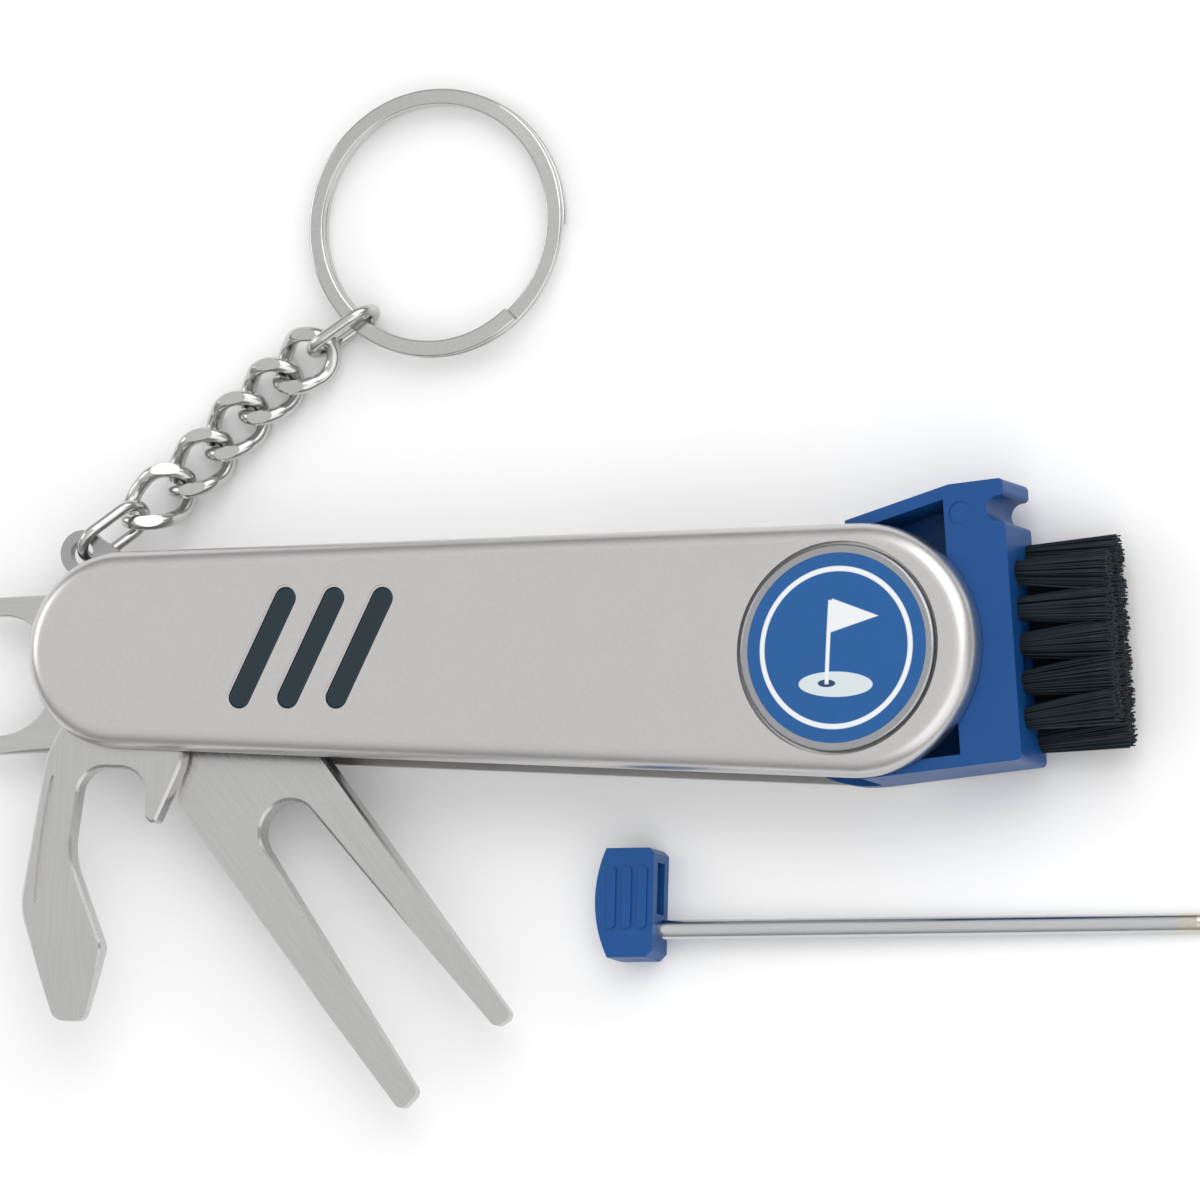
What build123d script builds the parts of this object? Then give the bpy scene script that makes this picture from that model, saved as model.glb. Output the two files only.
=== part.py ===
from build123d import *
import os
from math import asin, atan2, cos, radians, sin, sqrt, tan

# A golfer's folding pocket tool: a two-scale steel case with a divot fork, a bottle
# opener and a spike wrench on one pivot, a swing-out brush on the other, a magnetic
# ball marker, a pen insert that lies drawn out beside it, and a chain with a split ring.
# Units are millimetres. The case lies on its back: +X runs along it towards the ball
# marker, +Z is up through its thickness, and the origin is on the back face, half way
# between the two pivots.

# ---------------------------------------------------------------- driving sizes
# case
pivot_distance = 90.6          # between the blade pivot and the brush pivot
small_end_radius = 11.5
big_end_radius = 14.8
small_end_reach = 0.9          # its centre stands this far beyond the blade pivot
big_end_reach = 1.2            # and this far beyond the brush pivot
scale_thickness = 3.1
scale_edge_round = 2.3
blade_gap = 8.5                # between the two scales

# clearances
running_clearance = 0.05       # radial, on every pivot
side_clearance = 0.15          # brush carrier to scale
seat_clearance = 0.05          # pieces dropped into a recess
fit_clearance = 0.02           # pieces pressed or glued in, and a screw in its thread

# blade pivot and its washers
blade_pivot_radius = 2.5
blade_pivot_seat = 1.4         # how far the barrel enters the front scale
washer_radius = 4.5
washer_thickness = 0.2
washer_space = 0.25            # the room left for each washer

# brush pivot
brush_pivot_radius = 2.0
brush_pivot_seat = 1.1

# countersunk screws from the back
pivot_screw_radius = 1.0
pivot_screw_head = 2.5
spine_screw_radius = 0.8
spine_screw_head = 1.6
screw_head_depth = 1.4
screw_recess = 0.1             # heads sit this far below the back face
driver_slot_width = 0.6
driver_slot_depth = 0.5

# blade thicknesses
opener_thickness = 2.5
fork_thickness = 3.0
wrench_thickness = 2.0

# directions of the pieces as they stand, in degrees from +X
fork_direction = -50.6
opener_direction = -90.8
wrench_direction = -177.0
brush_direction = 6.8

# divot fork
fork_length = 63.3
fork_left = -7.1               # side edges, measured from the pivot line
fork_right = 10.5
fork_slot_start = 25.0
fork_slot_middle = 2.0
fork_slot_root = 6.8           # slot width at its root
fork_slot_mouth = 12.0         # slot width between the tips
fork_root_round = 3.5
fork_tip_round = 0.9
fork_tip_grind = 20.0          # length of the ground tips
fork_tip_thickness = 1.5
tang_radius = 7.5
blade_edge = 0.3               # chamfer along every blade edge

# bottle opener and screwdriver
opener_length = 43.4
opener_belly = -12.2           # widest point of the back edge
opener_mouth_start = 13.7
opener_mouth_width = 8.3
opener_hook_tip = 20.6
driver_width = 3.8             # the screwdriver's edge
driver_edge_thickness = 1.1
driver_grind = 9.5
nick_length = 15.2
nick_width = 1.1
nick_depth = 0.5

# spike wrench
wrench_length = 27.0
wrench_left = -8.0
wrench_right = 10.4
wrench_notch_start = 12.5
wrench_prong_width = 2.1
wrench_tip_thickness = 1.3
wrench_grind = 12.0

# spine with the key lug
spine_inset = 0.3              # below the edge of the scales
spine_wall = 1.0
spine_left_end = -6.0          # from the blade pivot
spine_right_end = 54.5
spine_boss_radius = 1.7
spine_peg_length = 2.5
lug_x = -8.3                   # from the blade pivot
lug_y = 11.9
lug_radius = 2.7
lug_hole_radius = 1.45
lug_thickness = 1.4

# decorative slots and their inlays
slot_count = 3
slot_pitch = 6.1
slot_lean = 65.8               # degrees from +X
slot_run = 12.7                # between the centres of the round ends
slot_width = 2.7
slot_depth = 0.8
slot_middle_x = 23.9           # of the middle slot, from the blade pivot
inlay_sink = 0.12
slot_rim = 0.28                # a shallow step round each slot
slot_rim_depth = 0.15
inlay_round = 0.3

# ball marker and its magnets
marker_offset = 0.75           # from the brush pivot, towards the blades
marker_radius = 12.1
marker_clearance = 0.4
marker_recess_depth = 1.3
marker_thickness = 1.5
marker_rim_round = 0.35
enamel_radius = 11.1
enamel_seat = 0.3
enamel_rise = 0.45
magnet_radius = 2.0
magnet_thickness = 0.9
magnet_offset = 6.5
magnet_count = 2

# brush carrier
carrier_radius = 15.0
carrier_reach = 19.8           # from its pivot to the face that holds the tufts
carrier_block = 7.5            # depth of the solid block
carrier_floor = 1.6
carrier_rail = 1.45
carrier_crest = 18.0           # height of the thumb catch over the pivot line
carrier_hub_radius = 4.6
carrier_hub_height = 2.9
carrier_corner_round = 1.0
catch_notch_radius = 1.5
catch_notch_y = 14.5
boss_mark_radius = 1.4
boss_mark_depth = 0.15

# bristles
tuft_radius = 0.8
tuft_pitch = 4.4
front_row_height = 5.4         # of the front row of tufts over the back scale
back_row_height = 1.5
tuft_middle = -1.2             # of both rows, across the carrier
tuft_length = 11.2
tuft_root = 4.0
tuft_tip_radius = 0.95
front_tufts = 5
back_tufts = 6

# pen insert
pen_x = 64.2                   # inner face of its head, from the blade pivot
pen_y = -28.2
pen_turn = 1.1                 # degrees from +X
pen_head_depth = 7.2
pen_head_high = 6.0            # head edges over and under its apex line
pen_head_low = -6.8
pen_head_thickness = 5.0
pen_rib_count = 3
pen_rib_pitch = 1.93
pen_rib_width = 1.1
pen_rib_length = 7.2
pen_rib_rise = 0.25
pen_rod_offset = -3.4
pen_rod_radius = 1.175
pen_rod_length = 64.1          # outside the head
pen_socket_depth = 4.5
pen_point_collar = 2.4
pen_point_cone = 5.4
pen_nib_radius = 0.45
pen_nib_length = 1.4
pen_hole_clearance = 0.12

# chain
curb_wire = 1.75
curb_width = 7.6
curb_twist = 45.0
curb_thickness = 3.35          # over the ground flats
plain_wire = 1.35
plain_width = 6.1
first_link_roll = 70.0          # degrees from lying flat
last_link_roll = 90.0
link_clearance = 0.4
# where one link passes through the next: x and y from the blade pivot, z from the table
chain_joints = [
    (lug_x, lug_y, 7.35),
    (-3.0, 16.7, 4.9),
    (1.7, 20.7, 2.8),
    (5.8, 25.2, 2.1),
    (9.9, 29.6, 2.1),
    (14.1, 33.4, 2.2),
    (18.9, 36.8, 3.1),
    (24.2, 40.4, 3.15),
]

# split ring
ring_radius = 15.8
ring_band = 1.9
ring_wire_height = 0.95
ring_coil_gap = 0.15
ring_turns = 1.87
ring_bearing = 53.0            # degrees from +X, from the last link to the ring's centre
ring_start = 247.0             # where the wire of the ring begins

# ---------------------------------------------------------------- derived places
blade_pivot_x = -pivot_distance / 2
brush_pivot_x = pivot_distance / 2
gap_floor = scale_thickness
gap_roof = scale_thickness + blade_gap
case_top = gap_roof + scale_thickness
gap_middle = (gap_floor + gap_roof) / 2

wrench_floor = gap_floor + washer_space
fork_floor = wrench_floor + wrench_thickness + washer_space
opener_floor = fork_floor + fork_thickness + washer_space
opener_roof = opener_floor + opener_thickness

small_end_x = blade_pivot_x - small_end_reach
big_end_x = brush_pivot_x + big_end_reach
marker_x = brush_pivot_x - marker_offset
end_slope = asin((big_end_radius - small_end_radius) / (big_end_x - small_end_x))
carrier_thickness = blade_gap - 2 * side_clearance
carrier_base = gap_floor + side_clearance
marker_seat = case_top - marker_recess_depth
pen_passage_z = carrier_base + carrier_floor + side_clearance + pen_head_thickness / 2

os.makedirs("parts", exist_ok=True)


def save(part, name):
    """Name a finished piece and write it to its own file."""
    part.label = name
    export_step(part, f"parts/{name}.step")


def case_half_width(from_blade_pivot):
    """Half the width of the case at a distance from the blade pivot."""
    return small_end_radius / cos(end_slope) + (from_blade_pivot + small_end_reach) * tan(end_slope)


def case_outline(inset):
    """Outline of the case: two round ends joined by tangent sides."""
    small = small_end_radius - inset
    big = big_end_radius - inset
    lean_x, lean_y = sin(end_slope), cos(end_slope)
    top_left = (small_end_x - small * lean_x, small * lean_y)
    top_right = (big_end_x - big * lean_x, big * lean_y)
    bottom_left = (top_left[0], -top_left[1])
    bottom_right = (top_right[0], -top_right[1])
    with BuildLine() as outline:
        Line(top_left, top_right)
        ThreePointArc(top_right, (big_end_x + big, 0), bottom_right)
        Line(bottom_right, bottom_left)
        ThreePointArc(bottom_left, (small_end_x - small, 0), top_left)
    make_face(outline.edges())


def pivot_plane(x, height, direction):
    """Plane on a pivot axis, with X along the piece that turns there."""
    turn = radians(direction)
    return Plane(origin=(x, 0, height), x_dir=(cos(turn), sin(turn), 0), z_dir=(0, 0, 1))


def side_plane(x, height, direction):
    """Plane on a pivot axis that stands on edge: X along the piece, Y up."""
    turn = radians(direction)
    across = (sin(turn), -cos(turn), 0)
    return Plane(origin=(x, 0, height), x_dir=(cos(turn), sin(turn), 0), z_dir=across)


# ---------------------------------------------------------------- spine screw place
spine_boss_x = spine_right_end - spine_boss_radius
spine_boss_y = case_half_width(spine_boss_x) - spine_inset - spine_boss_radius
spine_boss = (blade_pivot_x + spine_boss_x, spine_boss_y)

# ---------------------------------------------------------------- front scale
with BuildPart() as front_scale:
    with BuildSketch(Plane.XY.offset(gap_roof)):
        case_outline(0)
    extrude(amount=scale_thickness)
    fillet(front_scale.faces().sort_by(Axis.Z)[-1].edges(), scale_edge_round)
    # recess for the ball marker, with its magnets below it
    with BuildSketch(Plane.XY.offset(case_top)):
        with Locations((marker_x, 0)):
            Circle(marker_radius + marker_clearance)
    extrude(amount=-marker_recess_depth, mode=Mode.SUBTRACT)
    with BuildSketch(Plane.XY.offset(marker_seat)):
        with Locations((marker_x, 0)):
            with PolarLocations(magnet_offset, magnet_count, start_angle=90):
                Circle(magnet_radius + seat_clearance)
    extrude(amount=-magnet_thickness - seat_clearance, mode=Mode.SUBTRACT)
    # pockets for the slot inlays
    with BuildSketch(Plane.XY.offset(case_top)):
        with Locations((blade_pivot_x + slot_middle_x, 0)):
            with GridLocations(slot_pitch, 1, slot_count, 1):
                SlotCenterToCenter(slot_run, slot_width, rotation=slot_lean)
    extrude(amount=-slot_depth, mode=Mode.SUBTRACT)
    with BuildSketch(Plane.XY.offset(case_top)):
        with Locations((blade_pivot_x + slot_middle_x, 0)):
            with GridLocations(slot_pitch, 1, slot_count, 1):
                SlotCenterToCenter(slot_run, slot_width + 2 * slot_rim, rotation=slot_lean)
    extrude(amount=-slot_rim_depth, mode=Mode.SUBTRACT)
    # blind seats for the two pivot barrels
    with BuildSketch(Plane.XY.offset(gap_roof)):
        with Locations((blade_pivot_x, 0)):
            Circle(blade_pivot_radius + fit_clearance)
    extrude(amount=blade_pivot_seat + fit_clearance, mode=Mode.SUBTRACT)
    with BuildSketch(Plane.XY.offset(gap_roof)):
        with Locations((brush_pivot_x, 0)):
            Circle(brush_pivot_radius + fit_clearance)
    extrude(amount=brush_pivot_seat + fit_clearance, mode=Mode.SUBTRACT)
    # peg that enters the boss of the spine
    with BuildSketch(Plane.XY.offset(gap_roof)):
        with Locations(spine_boss):
            Circle(spine_screw_radius)
    extrude(amount=-spine_peg_length)
save(front_scale.part, "front_scale")

# ---------------------------------------------------------------- back scale
with BuildPart() as back_scale:
    with BuildSketch():
        case_outline(0)
    extrude(amount=scale_thickness)
    fillet(back_scale.faces().sort_by(Axis.Z)[0].edges(), scale_edge_round)
    for place, hole, head in (
        ((blade_pivot_x, 0), pivot_screw_radius, pivot_screw_head),
        ((brush_pivot_x, 0), pivot_screw_radius, pivot_screw_head),
        (spine_boss, spine_screw_radius, spine_screw_head),
    ):
        # countersink as deep as the screw head, with a straight mouth over it
        with BuildSketch():
            with Locations(place):
                Circle(head + fit_clearance)
        extrude(amount=screw_recess, mode=Mode.SUBTRACT)
        with BuildSketch(Plane.XY.offset(screw_recess)) as mouth:
            with Locations(place):
                Circle(head + fit_clearance)
        with BuildSketch(Plane.XY.offset(screw_recess + screw_head_depth)) as neck:
            with Locations(place):
                Circle(hole + fit_clearance)
        loft(mode=Mode.SUBTRACT)
        with BuildSketch():
            with Locations(place):
                Circle(hole + fit_clearance)
        extrude(amount=scale_thickness, mode=Mode.SUBTRACT)
save(back_scale.part, "back_scale")

# ---------------------------------------------------------------- slot inlays
with BuildPart() as slot_inlays:
    with BuildSketch(Plane.XY.offset(case_top - slot_depth)):
        with Locations((blade_pivot_x + slot_middle_x, 0)):
            with GridLocations(slot_pitch, 1, slot_count, 1):
                SlotCenterToCenter(slot_run, slot_width - 2 * fit_clearance, rotation=slot_lean)
    extrude(amount=slot_depth - inlay_sink)
    fillet(slot_inlays.edges().group_by(Axis.Z)[-1], inlay_round)
save(slot_inlays.part, "slot_inlays")

# ---------------------------------------------------------------- ball marker
with BuildPart() as marker_magnets:
    with BuildSketch(Plane.XY.offset(marker_seat - magnet_thickness - seat_clearance)):
        with Locations((marker_x, 0)):
            with PolarLocations(magnet_offset, magnet_count, start_angle=90):
                Circle(magnet_radius)
    extrude(amount=magnet_thickness)
save(marker_magnets.part, "marker_magnets")

marker_floor = marker_seat + seat_clearance
marker_top = marker_floor + marker_thickness
with BuildPart() as marker_disc:
    with BuildSketch(Plane.XY.offset(marker_floor)):
        with Locations((marker_x, 0)):
            Circle(marker_radius)
    extrude(amount=marker_thickness)
    fillet(marker_disc.edges().group_by(Axis.Z)[-1], marker_rim_round)
    with BuildSketch(Plane.XY.offset(marker_top)):
        with Locations((marker_x, 0)):
            Circle(enamel_radius)
    extrude(amount=-enamel_seat, mode=Mode.SUBTRACT)
save(marker_disc.part, "marker_disc")

# a flat-bottomed lens: the enamel fills the seat and domes over the rim
enamel_edge = enamel_radius - fit_clearance
with BuildPart() as marker_enamel:
    with BuildSketch(Plane(origin=(marker_x, 0, marker_top), x_dir=(1, 0, 0), z_dir=(0, -1, 0))):
        with BuildLine():
            Line((0, -enamel_seat), (enamel_edge, -enamel_seat))
            Line((enamel_edge, -enamel_seat), (enamel_edge, 0))
            rise_ball = (enamel_edge**2 + enamel_rise**2) / (2 * enamel_rise)
            RadiusArc((enamel_edge, 0), (0, enamel_rise), -rise_ball)
            Line((0, enamel_rise), (0, -enamel_seat))
        make_face()
    revolve(axis=Axis((marker_x, 0, 0), (0, 0, 1)))
save(marker_enamel.part, "marker_enamel")

# ---------------------------------------------------------------- pivots and screws


def pivot_barrel(x, radius, seat, name):
    """Barrel on the back scale whose far end enters the front scale."""
    with BuildPart() as barrel:
        with BuildSketch(Plane.XY.offset(gap_floor)):
            with Locations((x, 0)):
                Circle(radius)
        extrude(amount=blade_gap + seat)
        with BuildSketch(Plane.XY.offset(gap_floor)):
            with Locations((x, 0)):
                Circle(pivot_screw_radius + fit_clearance)
        extrude(amount=blade_gap - 1, mode=Mode.SUBTRACT)
    save(barrel.part, name)


def countersunk_screw(place, radius, head, length, name):
    """Screw with a slotted countersunk head, driven in from the back."""
    with BuildPart() as screw:
        with BuildSketch(Plane.XY.offset(screw_recess)):
            with Locations(place):
                Circle(head)
        with BuildSketch(Plane.XY.offset(screw_recess + screw_head_depth)):
            with Locations(place):
                Circle(radius)
        loft()
        with BuildSketch(Plane.XY.offset(screw_recess + screw_head_depth)):
            with Locations(place):
                Circle(radius)
        extrude(amount=length)
        with BuildSketch(Plane.XY.offset(screw_recess)):
            with Locations(place):
                Rectangle(2 * head, driver_slot_width, rotation=35)
        extrude(amount=driver_slot_depth, mode=Mode.SUBTRACT)
    save(screw.part, name)


pivot_barrel(blade_pivot_x, blade_pivot_radius, blade_pivot_seat, "blade_pivot_barrel")
pivot_barrel(brush_pivot_x, brush_pivot_radius, brush_pivot_seat, "brush_pivot_barrel")
pivot_screw_length = scale_thickness - screw_recess - screw_head_depth + blade_gap - 2
spine_screw_length = scale_thickness - screw_recess - screw_head_depth + blade_gap / 2
countersunk_screw((blade_pivot_x, 0), pivot_screw_radius, pivot_screw_head,
                  pivot_screw_length, "blade_pivot_screw")
countersunk_screw((brush_pivot_x, 0), pivot_screw_radius, pivot_screw_head,
                  pivot_screw_length, "brush_pivot_screw")
countersunk_screw(spine_boss, spine_screw_radius, spine_screw_head,
                  spine_screw_length, "spine_screw")

washer_floors = (
    gap_floor,
    wrench_floor + wrench_thickness,
    fork_floor + fork_thickness,
    opener_roof,
)
with BuildPart() as blade_washers:
    for floor in washer_floors:
        with BuildSketch(Plane.XY.offset(floor + (washer_space - washer_thickness) / 2)):
            with Locations((blade_pivot_x, 0)):
                Circle(washer_radius)
                Circle(blade_pivot_radius + running_clearance, mode=Mode.SUBTRACT)
        extrude(amount=washer_thickness)
save(blade_washers.part, "blade_washers")

# ---------------------------------------------------------------- spine with key lug
spine_reach = spine_right_end - spine_left_end
lug_centre = (blade_pivot_x + lug_x, lug_y)
with BuildPart() as spine:
    with BuildSketch(Plane.XY.offset(gap_floor)):
        case_outline(spine_inset)
        with BuildSketch(mode=Mode.SUBTRACT):
            case_outline(spine_inset + spine_wall)
        with Locations((blade_pivot_x + spine_left_end, tang_radius)):
            Rectangle(spine_reach, 2 * big_end_radius, align=(Align.MIN, Align.MIN),
                      mode=Mode.INTERSECT)
        with Locations(spine_boss):
            Circle(spine_boss_radius)
    extrude(amount=blade_gap)
    # bores for the screw at the back and the front scale's peg at the front
    with BuildSketch(Plane.XY.offset(gap_floor)):
        with Locations(spine_boss):
            Circle(spine_screw_radius + fit_clearance)
    extrude(amount=blade_gap, mode=Mode.SUBTRACT)
    # the lug is a thinner plate half way up, with a shoulder that runs down to the case
    with BuildSketch(Plane.XY.offset(gap_middle - lug_thickness / 2)):
        with BuildLine():
            Polyline(
                (lug_centre[0] - lug_radius * 0.8, lug_centre[1] - lug_radius * 0.6),
                (lug_centre[0] + 1.2, small_end_radius - 3.0),
                (blade_pivot_x, small_end_radius - spine_inset - spine_wall / 2),
                (blade_pivot_x + 4.0, small_end_radius - spine_inset),
                (blade_pivot_x - 3.2, small_end_radius + 0.3),
                (lug_centre[0] + lug_radius * 0.7, lug_centre[1] + lug_radius * 0.7),
                close=True,
            )
        make_face()
        with Locations(lug_centre):
            Circle(lug_radius)
            Circle(lug_hole_radius, mode=Mode.SUBTRACT)
    extrude(amount=lug_thickness)
save(spine.part, "spine")

# ---------------------------------------------------------------- divot fork
fork_plane = pivot_plane(blade_pivot_x, fork_floor, fork_direction)
root_low = fork_slot_middle - fork_slot_root / 2
root_high = fork_slot_middle + fork_slot_root / 2
mouth_low = fork_slot_middle - fork_slot_mouth / 2
mouth_high = fork_slot_middle + fork_slot_mouth / 2
with BuildPart() as divot_fork:
    with BuildSketch(fork_plane):
        with BuildLine():
            FilletPolyline(
                (0, tang_radius * 0.9),
                (12.5, fork_right),
                (fork_length, fork_right),
                (fork_length - 0.4, mouth_high),
                (fork_slot_start, root_high),
                (fork_slot_start, root_low),
                (fork_length - 0.4, mouth_low),
                (fork_length, fork_left),
                (17.0, fork_left),
                (12.3, -1.9),
                (0, -tang_radius * 0.7),
                radius=[0.5, 6.0, fork_tip_round, fork_tip_round, fork_root_round,
                        fork_root_round, fork_tip_round, fork_tip_round, 2.2, 3.0, 0.5],
                close=True,
            )
        make_face()
        Circle(tang_radius)
        Circle(blade_pivot_radius + running_clearance, mode=Mode.SUBTRACT)
    extrude(amount=fork_thickness)
    chamfer(divot_fork.faces().filter_by(Axis.Z).edges(), blade_edge)
    # the tips are ground thinner from the front
    with BuildSketch(side_plane(blade_pivot_x, fork_floor, fork_direction)):
        with BuildLine():
            Polyline(
                (fork_length - fork_tip_grind, fork_thickness),
                (fork_length + 1, fork_tip_thickness),
                (fork_length + 1, fork_thickness + 1),
                (fork_length - fork_tip_grind, fork_thickness + 1),
                close=True,
            )
        make_face()
    extrude(amount=2 * fork_right, both=True, mode=Mode.SUBTRACT)
save(divot_fork.part, "divot_fork")

# ---------------------------------------------------------------- bottle opener
opener_plane = pivot_plane(blade_pivot_x, opener_floor, opener_direction)
mouth_left = -opener_mouth_width + 2.7
with BuildPart() as bottle_opener:
    with BuildSketch(opener_plane):
        with BuildLine():
            FilletPolyline(
                (0, tang_radius * 0.9),
                (13.0, 7.1),
                (opener_hook_tip, 3.9),
                (opener_hook_tip - 1.2, 2.7),
                (opener_mouth_start, 2.7),
                (opener_mouth_start, mouth_left),
                (24.0, -6.5),
                (34.6, -1.8),
                (opener_length, -3.7),
                (opener_length, -3.7 - driver_width),
                (30.3, opener_belly - 0.2),
                (12.3, -10.1),
                (4.0, -tang_radius * 0.8),
                radius=[0.5, 5.5, 0.7, 0.5, 3.4, 3.2, 9.0, 1.6, 1.2, 1.6, 8.0, 8.0, 1.0],
                close=True,
            )
        make_face()
        Circle(tang_radius)
        Circle(blade_pivot_radius + running_clearance, mode=Mode.SUBTRACT)
    extrude(amount=opener_thickness)
    chamfer(bottle_opener.faces().filter_by(Axis.Z).edges(), blade_edge)
    # the screwdriver is ground on both faces
    grind_depth = (opener_thickness - driver_edge_thickness) / 2
    grind_start = opener_length - driver_grind
    with BuildSketch(side_plane(blade_pivot_x, opener_floor, opener_direction)):
        for face, outside, depth in ((opener_thickness, 1, -grind_depth), (0, -1, grind_depth)):
            with BuildLine():
                Polyline(
                    (grind_start, face),
                    (opener_length, face + depth),
                    (opener_length + 1, face + depth),
                    (opener_length + 1, face + outside),
                    (grind_start, face + outside),
                    close=True,
                )
            make_face()
    extrude(amount=-2 * opener_belly, both=True, mode=Mode.SUBTRACT)
    # leaf-shaped nail nick along the back edge
    with BuildSketch(pivot_plane(blade_pivot_x, opener_roof, opener_direction)):
        with Locations((22.3, -9.75)):
            Ellipse(nick_length / 2, nick_width / 2, rotation=-5)
    extrude(amount=-nick_depth, mode=Mode.SUBTRACT)
save(bottle_opener.part, "bottle_opener")

# ---------------------------------------------------------------- spike wrench
wrench_plane = pivot_plane(blade_pivot_x, wrench_floor, wrench_direction)
notch_low = wrench_left + wrench_prong_width
notch_high = wrench_right - wrench_prong_width
notch_round = (notch_high - notch_low) / 2 - 0.1
with BuildPart() as spike_wrench:
    with BuildSketch(wrench_plane):
        with BuildLine():
            FilletPolyline(
                (0, tang_radius * 0.9),
                (8.5, wrench_right),
                (wrench_length, wrench_right),
                (wrench_length, notch_high),
                (wrench_notch_start, notch_high),
                (wrench_notch_start, notch_low),
                (wrench_length, notch_low),
                (wrench_length, wrench_left),
                (8.5, wrench_left),
                (0, -tang_radius * 0.9),
                radius=[0.5, 3.0, 0.9, 0.7, notch_round, notch_round, 0.7, 0.9, 3.0, 0.5],
                close=True,
            )
        make_face()
        Circle(tang_radius)
        Circle(blade_pivot_radius + running_clearance, mode=Mode.SUBTRACT)
    extrude(amount=wrench_thickness)
    chamfer(spike_wrench.faces().filter_by(Axis.Z).edges(), blade_edge)
    # the prongs are ground thinner from the front
    with BuildSketch(side_plane(blade_pivot_x, wrench_floor, wrench_direction)):
        with BuildLine():
            Polyline(
                (wrench_length - wrench_grind, wrench_thickness),
                (wrench_length + 1, wrench_tip_thickness),
                (wrench_length + 1, wrench_thickness + 1),
                (wrench_length - wrench_grind, wrench_thickness + 1),
                close=True,
            )
        make_face()
    extrude(amount=2 * wrench_right, both=True, mode=Mode.SUBTRACT)
save(spike_wrench.part, "spike_wrench")

# ---------------------------------------------------------------- brush carrier
block_start = carrier_reach - carrier_block
# the upper rail leaves the round end along a tangent and climbs to the crest
crest_corner = (block_start + 0.8, carrier_crest)
crest_bearing = atan2(crest_corner[1], crest_corner[0])
crest_distance = sqrt(crest_corner[0] ** 2 + crest_corner[1] ** 2)
touch_bearing = crest_bearing + asin(sqrt(1 - (carrier_radius / crest_distance) ** 2))


def carrier_outline(inset):
    """Outline of the brush carrier: round at its pivot, square at the tufts."""
    radius = carrier_radius - inset
    touch = (radius * cos(touch_bearing), radius * sin(touch_bearing))
    lean = touch_bearing
    crest = (crest_corner[0] - inset * cos(lean) - inset * 0.1, crest_corner[1] - inset)
    with BuildLine() as outline:
        Line((0, -radius), (carrier_reach - inset, -radius))
        Line((carrier_reach - inset, -radius), (carrier_reach - inset, crest[1]))
        Line((carrier_reach - inset, crest[1]), crest)
        Line(crest, touch)
        ThreePointArc(touch, (-radius, 0), (0, -radius))
    make_face(outline.edges())


def tuft_places(count):
    """Places of one row of tufts across the carrier."""
    return [tuft_middle + tuft_pitch * (i - (count - 1) / 2) for i in range(count)]


tuft_rows = (
    (front_tufts, gap_floor + front_row_height),
    (back_tufts, gap_floor + back_row_height),
)
brush_turn = radians(brush_direction)
brush_along = (cos(brush_turn), sin(brush_turn), 0)
brush_across = (-sin(brush_turn), cos(brush_turn), 0)


def tuft_face_plane(distance):
    """Plane across the carrier at a distance from its pivot: X across, Y up."""
    origin = (brush_pivot_x + distance * brush_along[0], distance * brush_along[1], 0)
    return Plane(origin=origin, x_dir=brush_across, z_dir=brush_along)


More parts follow.
